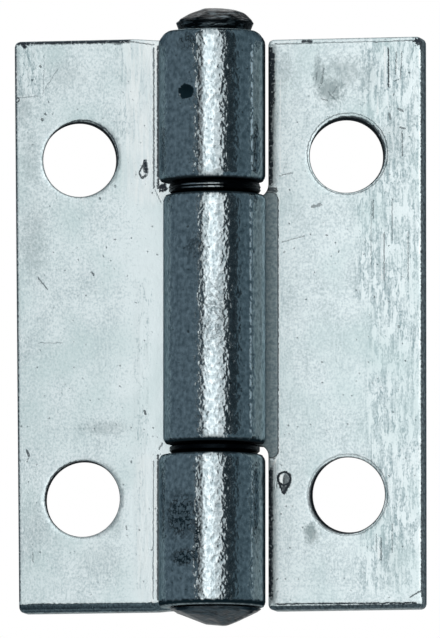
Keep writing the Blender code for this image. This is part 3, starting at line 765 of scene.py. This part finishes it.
right_finish = {
    "tone": 0.79,
    "worms": 2.6,
    "streaks": [
        (9.2, 9, 1.5, 5.4, 0, 0.5), (9.4, -4, 1.2, 8, 0, 0.7), (8.9, -12, 1.2, 2, 0, 0.6),
        (8.2, 3.6, 0.8, 2.6, 0, 0.4),
    ],
    # Painted light: slightly brighter towards the outer edge and next to the knuckle.
    "painted_glow": [(8.6, 10.2, 0.1), (3.4, 2.7, 0.05)],
    # Painted shade along the notch edges and at a corner.
    "shade_bands": [
        (2.66, 10.7, 0.05, 3.5, 0.06, 0.03), (2.74, 12.6, 0.06, 1.3, 0.06, 0.03),
        (2.66, -11.3, 0.04, 3.3, 0.05, 0.03), (10.6, 14.45, 0.15, 0.1, 0.06, 0.04),
    ],
    "stains": [
        (5.9, 12, 0.95, 0.85, 0.75), (5.3, 12.6, 0.4, 1.2, 0.6), (6.6, 12.9, 1.2, 1, 0.4),
        (4.85, -11.3, 0.5, 0.6, 0.75), (9.3, 9.4, 1, 1.6, 0.25), (7.9, 12.6, 0.7, 1.2, 0.25),
        (3.4, 13, 0.5, 1.2, 0.2), (9.2, -13, 1, 1.5, 0.12),
    ],
    # Scratches, and painted shade along the edges, the notch edges and round the punch mark.
    "dark_marks_and_shade": [
        (8.15, 6.12, 8.15, 5.17, 0.045, 0.6), (8.05, 6.2, 8.03, 2.6, 0.03, 0.3),
        (8.73, 4.37, 8.73, 1.9, 0.045, 0.5), (9.16, 6.1, 9.16, 3.95, 0.035, 0.4),
        (10.01, 4.4, 10.01, 1.93, 0.04, 0.4), (8.97, 14.1, 8.98, 12.05, 0.045, 0.9),
        (9.4, 13.9, 9.35, 12.7, 0.03, 0.6), (9.7, 13.9, 9.62, 12.5, 0.03, 0.5),
        (9.62, 12.5, 9.3, 12.35, 0.03, 0.5), (3.29, 4, 4.47, 4.3, 0.04, 0.45),
        (4.89, 5.82, 5.3, 5.92, 0.1, 0.55), (3.13, 7.48, 3.83, 7.63, 0.04, 0.45),
        (8.2, 1.02, 8.2, 1, 0.06, 0.7), (9.47, -0.52, 9.5, -0.6, 0.07, 0.5),
        (8.56, -11.62, 8.56, -12.78, 0.04, 0.6), (8.3, -11.4, 8.3, -12.3, 0.035, 0.4),
        (9.15, -10.9, 9.15, -12.4, 0.03, 0.4), (9.5, 10.9, 9.75, 10.75, 0.07, 0.6),
        (9.6, 9.9, 9.85, 9.85, 0.06, 0.7), (9, 10.6, 9.05, 10.4, 0.09, 0.5),
        (9.7, 9.7, 9.72, 8.4, 0.03, 0.6), (5.75, 11.85, 6.1, 11.45, 0.05, 0.35),
        (5.4, 11.5, 5.7, 11.4, 0.05, 0.4), (6.2, 12.1, 6, 11.8, 0.04, 0.3),
        (5.5, 13.1, 5.38, 12.3, 0.06, 0.35), (2.92, 14.44, 5.3, 14.44, 0.04, 0.6),
        (5.3, 14.46, 8.2, 14.46, 0.03, 0.55), (8.2, 14.44, 10.3, 14.48, 0.035, 0.7),
        (2.92, 14.7, 10.5, 14.66, 0.035, 0.6), (4.4, 14.56, 4.86, 14.54, 0.1, 0.95),
        (10.3, 14.42, 10.66, 14.5, 0.06, 0.95), (10.66, 14.5, 10.74, 13.9, 0.07, 1),
        (10.76, 14.2, 10.74, -14.7, 0.075, 1), (10.1, -14.75, 10.7, -14.4, 0.05, 0.8),
        (2.68, 14.1, 2.67, 7.1, 0.15, 0.97), (2.8, 13.9, 2.76, 11.2, 0.12, 0.95),
        (2.8, 11.5, 2.72, 7.4, 0.07, 0.6), (2.7, -7.9, 2.7, -14.7, 0.12, 0.85),
        (2.4, 6.8, 2.9, 6.75, 0.18, 0.9), (2.4, -7.1, 2.8, -7.3, 0.15, 0.6),
        (2.9, -15, 10.4, -15.05, 0.05, 1), (5.1, 12.5, 5.15, 12.9, 0.04, 0.4),
        (3.1, -8.62, 3.36, -9.2, 0.09, 1), (3.7, -8.62, 3.38, -9.2, 0.1, 1),
        (3.54, -8.3, 3.5, -8.75, 0.26, 0.75), (3.4, -8.3, 3.36, -8.85, 0.07, 0.9),
        (3, -8.6, 2.98, -8.95, 0.05, 0.4), (3.39, -8.85, 3.37, -9.1, 0.18, 0.9),
    ],
    # Painted highlights along edges, scratches and the punch mark.
    "painted_highlights": [
        (8.8, 14.16, 8.82, 12, 0.085, 0.9), (3.21, 12.65, 3.19, 7.69, 0.035, 0.8),
        (8.4, 11.6, 8.4, 10.6, 0.05, 0.6), (8.95, 11.6, 8.97, 10.9, 0.05, 0.7),
        (8.6, 4.3, 8.6, 2, 0.04, 0.7), (10.6, 13.9, 10.6, -14.3, 0.04, 0.6),
        (2.86, 7, 3.16, 6.5, 0.04, 0.8), (3.14, 6.4, 3.13, -7.1, 0.045, 0.7),
        (3.1, -7.25, 2.8, -7.7, 0.05, 0.9), (3.24, -8.3, 3.24, -8.7, 0.11, 0.95),
        (9.4, 13.8, 9.45, 12.9, 0.03, 0.5), (8.45, -11.6, 8.45, -12.7, 0.04, 0.7),
        (3, 14.57, 4.3, 14.57, 0.04, 0.5), (5, 14.57, 10.2, 14.57, 0.035, 0.35),
    ],
    # Painted shade round the holes, the step and the punch mark.
    "shade_rims": [
        (6.8, 8.56, 0, 0, 1.98, 0.03, 0.9), (6.78, 8.58, 0, 0, 2.14, 0.012, 0.6),
        (6.75, -9.37, 0, 0, 2, 0.03, 0.8), (6.77, -9.34, 0, 0, 2.13, 0.014, 0.45),
        (1.25, -0.35, 1.45, 6.6, 0.35, 0.035, 0.9), (3.4, -8.43, 0, 0, 0.34, 0.045, 1),
    ],
    # Painted shade on the foot.
    "foot_shade_boxes": [(6.7, -15.35, 7, 0, 0.24, 0.04)],
    # Painted shade of a step beside the centre knuckle.
    "step_shade": [(1.25, -0.35, 1.45, 6.6, 0.33, 0.04)],
    # Colours of the painted shade on the foot.
    "foot_shade": ((0.03, 0.045, 0.053), (0.11, 0.155, 0.18)),
    "grime": [(-7, 0, 0.5, 2.2, 0.5), (-3.4, -4.4, 0.5, 1.5, 0.8), (-6.2, 3.4, 0.5, 0.9, 0.5)],
    # Painted shade along the left edge of the highlight.
    "roll_shade_lines": [(-6.48, 6.1, -6.48, -6.3, 0.09, 0.5)],
    # Painted shade on the knuckle's ends and down its side.
    "roll_shade_boxes": [
        (-5.5, 6.45, 6, 0, 0.14, 0.1), (-5.5, -6.7, 6, 0, 0.14, 0.1), (-3.3, 0, 0.35, 8, 0.1, 0.25),
    ],
    # Painted glint down the knuckle's flank.
    "painted_roll_glints": [(-8.63, 5.9, -8.63, -6.2, 0.07, 0.7)],
}
right_leaf.data.materials.append(plated_steel("right_leaf_plating", right_finish))
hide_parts("leaf_right")
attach(right_leaf, "right")

# The pin. One steel rod runs through all three knuckles, and both of its ends are hammered over
# into low heads, so each is a cluster of flats with a burred rim. The blows also swell the rod
# out into a ring in each gap between two knuckles, painted black as the shade in the gap.
PIN_RADIUS = 1.44 * MM
TOP_HEAD_RIM = 2.04 * MM
BOTTOM_HEAD_RIM = 2.43 * MM
TOP_HEAD_UNDER = 0.7 * MM
TOP_HEAD_CROWN = 0.79 * MM
BOTTOM_HEAD_UNDER = 0.1 * MM
BOTTOM_HEAD_CROWN = 0.88 * MM
SEAT_GAP = 0.01 * MM
KNUCKLES_END = LEFT_BOTTOM + TONGUE_TRIM
AROUND = 120
AZIMUTHS = np.linspace(0, 2 * np.pi, AROUND, endpoint=False)


def towards(azimuth, elevation):
    """Unit directions at these azimuths from straight in front and elevations, in radians."""
    level = np.cos(elevation)
    return np.stack([level * np.sin(azimuth), -level * np.cos(azimuth), np.sin(elevation)], axis=-1)


def hammered(directions, crown, rim, flats):
    """Distance from a head's middle to its skin in each unit direction. It is the ellipsoid with
    these half axes, cut by every flat's plane: a flat bounds it at its own distance over the
    cosine between its normal and the direction."""
    flatness = (directions[..., 0] ** 2 + directions[..., 1] ** 2) / rim**2
    reach = 1 / np.sqrt(flatness + directions[..., 2] ** 2 / crown**2)
    for tilt, azimuth, distance in flats:
        facing = directions @ towards(math.radians(azimuth), math.radians(90 - tilt))
        bound = np.where(facing > 0.05, distance * MM / np.maximum(facing, 0.05), reach)
        reach = np.minimum(reach, bound)
    return reach


def head_points(seat, way, under, crown, rim, flats, rings=26):
    """One head as rings of points, from its seat on the knuckle out to its rim and up to its crown,
    and the crown's own point."""
    climb = np.linspace(0, np.pi / 2, rings)[:-1]
    tilt, turn = np.meshgrid(climb, AZIMUTHS, indexing="ij")
    directions = towards(turn, tilt)
    dome = directions * hammered(directions, crown, rim, flats)[..., None]
    skirt = [
        directions[0] * rim * share + [0, 0, -under * drop] for share, drop in ((0.88, 1), (0.93, 0.5))
    ]
    stack = np.concatenate([skirt, dome])
    stack[..., 2] = seat + way * (under + stack[..., 2])
    top = hammered(np.array([[0, 0, 1]]), crown, rim, flats)[0]
    return stack, [0, 0, seat + way * (under + top)]


# Each flat is its tilt from the pin's axis and its azimuth in degrees, and its distance from the
# head's middle in millimetres.
TOP_FLATS = [
    (33, -78, 1.1), (20, -80, 0.87), (50, 101, 1.56), (44, 100, 1.44), (14, 20, 0.8), (34, 8, 1.13),
    (28, -30, 1), (52, 40, 1.62), (56, -25, 1.68), (40, 60, 1.32), (25, 170, 0.92), (38, -140, 1.2),
    (40, 140, 1.25),
]
BOTTOM_FLATS = [
    (21.9, -78, 0.867), (6.9, -80, 0.806), (21, 101, 1.023), (25.9, 102, 1.1), (16, -20, 0.86),
    (22, 35, 0.98), (30, 0, 1.19), (24, 175, 0.93), (28, -135, 1.08), (28, 130, 1.1),
]
top_stack, top_crown = head_points(
    LEFT_TOP + SEAT_GAP, 1, TOP_HEAD_UNDER, TOP_HEAD_CROWN, TOP_HEAD_RIM, TOP_FLATS
)
bottom_stack, bottom_crown = head_points(
    KNUCKLES_END - SEAT_GAP, -1, BOTTOM_HEAD_UNDER, BOTTOM_HEAD_CROWN, BOTTOM_HEAD_RIM, BOTTOM_FLATS
)
# The shank's profile from the top down, as pairs of height and radius in millimetres.
TOP_RING = [
    (7.09, 1.5), (7.06, 2.2), (6.98, 2.34), (6.87, 2.37), (6.8, 2.41),
    (6.72, 2.37), (6.63, 2.41), (6.52, 2.34), (6.43, 2.1), (6.4, 1.5),
]
BOTTOM_RING = [(-6.7, 1.5), (-6.74, 2.2), (-6.86, 2.36), (-7.06, 2.36), (-7.18, 2.24), (-7.24, 1.5)]
profile = [((LEFT_TOP + SEAT_GAP) / MM, 1.5)]
spans = ((14.2, 7.2, 12, TOP_RING), (6.3, -6.6, 20, BOTTOM_RING), (-7.4, -14.9, 12, []))
for high, low, count, swelling in spans:
    profile += [(level, PIN_RADIUS / MM) for level in np.linspace(high, low, count)] + swelling
levels, radii = np.array(profile).T * MM
shank = radii[:, None, None] * towards(AZIMUTHS, 0 * AZIMUTHS)
shank[..., 2] = levels[:, None]
stack = np.concatenate([top_stack[::-1], shank, bottom_stack])
pin_points = np.concatenate([stack.reshape(-1, 3), [top_crown, bottom_crown]])
ring = np.arange(AROUND)
following = (ring + 1) % AROUND
crown_at = len(stack) * AROUND
number = np.arange(crown_at).reshape(-1, AROUND)
walls = quads(np.column_stack([number, number[:, 0]])).reshape(-1, 4)
last = crown_at - AROUND
top_fan = np.stack([ring, following, np.full(AROUND, crown_at)], axis=1)
bottom_fan = np.stack([last + following, last + ring, np.full(AROUND, crown_at + 1)], axis=1)
pin = skin("pin_hammered", pin_points, walls.tolist() + top_fan.tolist() + bottom_fan.tolist(), 24)

# The pin's colours. The noise runs from the first of each pair to the second.
HEAD = ((0.006, 0.009, 0.011), (0.16, 0.2, 0.22))
FOOT = ((0.014, 0.022, 0.028), (0.055, 0.085, 0.105))
# Painted shade and highlight: the rings in the gaps are black, with bright ridges where they face the
# front.
RING_SHADE_AND_HIGHLIGHT = ((0.004, 0.006, 0.008), (0.75, 0.85, 0.88))


def hammered_steel(name):
    """Pin steel, nearly black, with paler streaks.
    The foot is paler than the head, and the rings between the knuckles are painted black, the shade
    in the gaps, with two painted highlight ridges in front."""
    made = Nodes(bpy.data.materials.new(name))
    place = made.add("TexCoord").outputs["Object"]
    spot = made.add("VectorMath", {0: place, "Scale": 1 / MM}, operation="SCALE").outputs[0]
    side, _, height = made.add("SeparateXYZ", {0: spot}).outputs
    streaks = made.noise(spot, (1.3, 1.3, 6), 3, 0.65)
    ridge = made.noise(spot, (2.5, 2.5, 7), 2, 0.6, (4, 9, 2))
    top_colour = made.mix(made.between(streaks, 0.5, 0.66), *HEAD)
    foot_colour = made.mix(made.between(ridge, 0.35, 0.65), *FOOT)
    colour = made.mix(made.between(height, -14, -15), top_colour, foot_colour)
    # Painted highlights on the ring's two ridges, in front only.
    crest_highlights = made.larger(made.band(height, 6.8, 0.015, 0.03), made.band(height, 6.63, 0.012, 0.03))
    crest_highlights = made.product(crest_highlights, made.band(side, -0.25, 0.7, 0.5))
    between_knuckles = made.band(height, 0, 7.4, 0.2)
    colour = made.mix(between_knuckles, colour, made.mix(crest_highlights, *RING_SHADE_AND_HIGHLIGHT))
    made.wire("Base Color", colour)
    made.shader.inputs["Metallic"].default_value = 1
    made.shader.inputs["Specular IOR Level"].default_value = 0
    made.wire("Roughness", made.between(ridge, 0.3, 0.7, 0.28, 0.5))
    bump = made.add("Bump", {"Strength": 0.8, "Distance": 0.08 * MM, "Height": ridge})
    made.wire("Normal", bump.outputs[0])
    return made.owner


pin.data.materials.append(hammered_steel("pin_hammered_steel"))
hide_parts("pin")
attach(pin, "left")

# The studio. A white room, with grey cards round the hinge that only the metal's mirror image sees,
# so that the round knuckles read dark with one bright line. Two smaller cards low down hide the
# pale floor from the knuckles' lower ends.
CARD_RADIUS = 0.3
LOW_CARD_RADIUS = 0.105
FLOOR_LEVEL = -0.11
FLOOR_REACH = 2


def flag(name, azimuths, elevations, tone, radius=CARD_RADIUS):
    """A grey card bent to a piece of a sphere round the hinge, between two azimuths and two
    elevations in degrees. Azimuth 0 is straight in front and 90 is off the right leaf's edge."""
    turn = np.radians(np.linspace(*azimuths, 33))
    rise = np.radians(np.linspace(*elevations, 17))
    rise, turn = np.meshgrid(rise, turn, indexing="ij")
    places = radius * towards(turn, rise)
    cells = quads(np.arange(rise.size).reshape(rise.shape).T).reshape(-1, 4)
    item = skin(name, places.reshape(-1, 3), cells.tolist())
    card = Nodes(bpy.data.materials.new(name))
    card.tree.nodes.remove(card.shader)
    output = card.tree.nodes["Material Output"]
    grey = card.add("Emission", {"Color": (*tone, 1), "Strength": 1})
    card.tree.links.new(grey.outputs[0], output.inputs["Surface"])
    item.data.materials.append(card.owner)
    for ray in ("camera", "diffuse", "transmission", "shadow"):
        setattr(item, "visible_" + ray, False)


flag("flag_left", (-150, -17), (-82, 70), (0.125, 0.165, 0.195))
flag("flag_dark_strip", (34, 66), (-82, 70), (0.03, 0.042, 0.05))
flag("flag_right", (66, 144), (-82, 70), (0.1, 0.14, 0.165))
flag("flag_edge", (144, 172), (-82, 50), (0.12, 0.15, 0.17))
flag("flag_dark_line", (-23, -17), (-40, 50), (0.03, 0.04, 0.045), CARD_RADIUS - 0.01)
flag("flag_right_rim", (172, 198), (2, 14), (0.03, 0.04, 0.05))
flag("flag_left_rim", (-178, -150), (2, 14), (0.1, 0.13, 0.15))
flag("flag_low_left", (-150, -17), (-58, -17), (0.125, 0.165, 0.195), LOW_CARD_RADIUS)
flag("flag_low_right", (34, 172), (-58, -17), (0.1, 0.14, 0.165), LOW_CARD_RADIUS)

floor_corners = np.array([(-1, -1, 0), (1, -1, 0), (1, 1, 0), (-1, 1, 0)]) * FLOOR_REACH
floor = skin("floor", floor_corners + (0, 0, FLOOR_LEVEL), [(0, 1, 2, 3)])
pale = Nodes(bpy.data.materials.new("floor_pale"))
pale.shader.inputs["Base Color"].default_value = (0.86, 0.86, 0.85, 1)
pale.shader.inputs["Roughness"].default_value = 0.7
floor.data.materials.append(pale.owner)


def softbox(name, place, width, height, energy):
    """An area light at a place, turned to the hinge and hidden from the camera."""
    light = bpy.data.lights.new(name, "AREA")
    light.shape = "RECTANGLE"
    light.size = width
    light.size_y = height
    light.energy = energy
    box = placed(name, light)
    box.location = place
    box.rotation_euler = Vector(place).to_track_quat("Z", "Y").to_euler()
    box.visible_camera = False
    return box


softbox("window_light", (0.04, -0.45, 0.05), 0.16, 0.5, 0.15)
key = softbox("key_light", (-0.3, -0.5, 0.8), 0.5, 0.5, 4)
key.visible_glossy = False

# The room is at full strength where it is seen, mirrored or looked at through a hole, and dimmer as
# a light on matt surfaces.
world = bpy.data.worlds.new("white_room")
bpy.context.scene.world = world
room = Nodes(world)
rays = room.add("LightPath").outputs
seen = room.larger(rays["Is Camera Ray"], rays["Is Glossy Ray"])
seen = room.larger(seen, rays["Is Transmission Ray"])
room.wire("Strength", room.between(seen, 0, 1, 0.55, 1))
room.shader.inputs["Color"].default_value = (1, 1, 1, 1)

bpy.context.scene.view_settings.view_transform = "Standard"

# The photograph's view: from a little below and to the right of straight in front.
SHOT_AZIMUTH = math.radians(11.5)
SHOT_ELEVATION = math.radians(-5.158)
SHOT_DISTANCE = 0.8015
SHOT_TARGET = Vector((0.000282, 0, -0.000124))
PIXELS_PER_METRE = 19118
PICTURE_HEIGHT = 638

lens = bpy.data.cameras.new("camera")
lens.sensor_fit = "VERTICAL"
lens.sensor_height = 36
lens.lens = PIXELS_PER_METRE * SHOT_DISTANCE * lens.sensor_height / PICTURE_HEIGHT
lens.clip_start = 0.01
lens.clip_end = 20
camera = placed("camera", lens)
camera.location = SHOT_TARGET + Vector(towards(SHOT_AZIMUTH, SHOT_ELEVATION)) * SHOT_DISTANCE
camera.rotation_euler = (math.pi / 2 - SHOT_ELEVATION, 0, SHOT_AZIMUTH)
bpy.context.scene.camera = camera
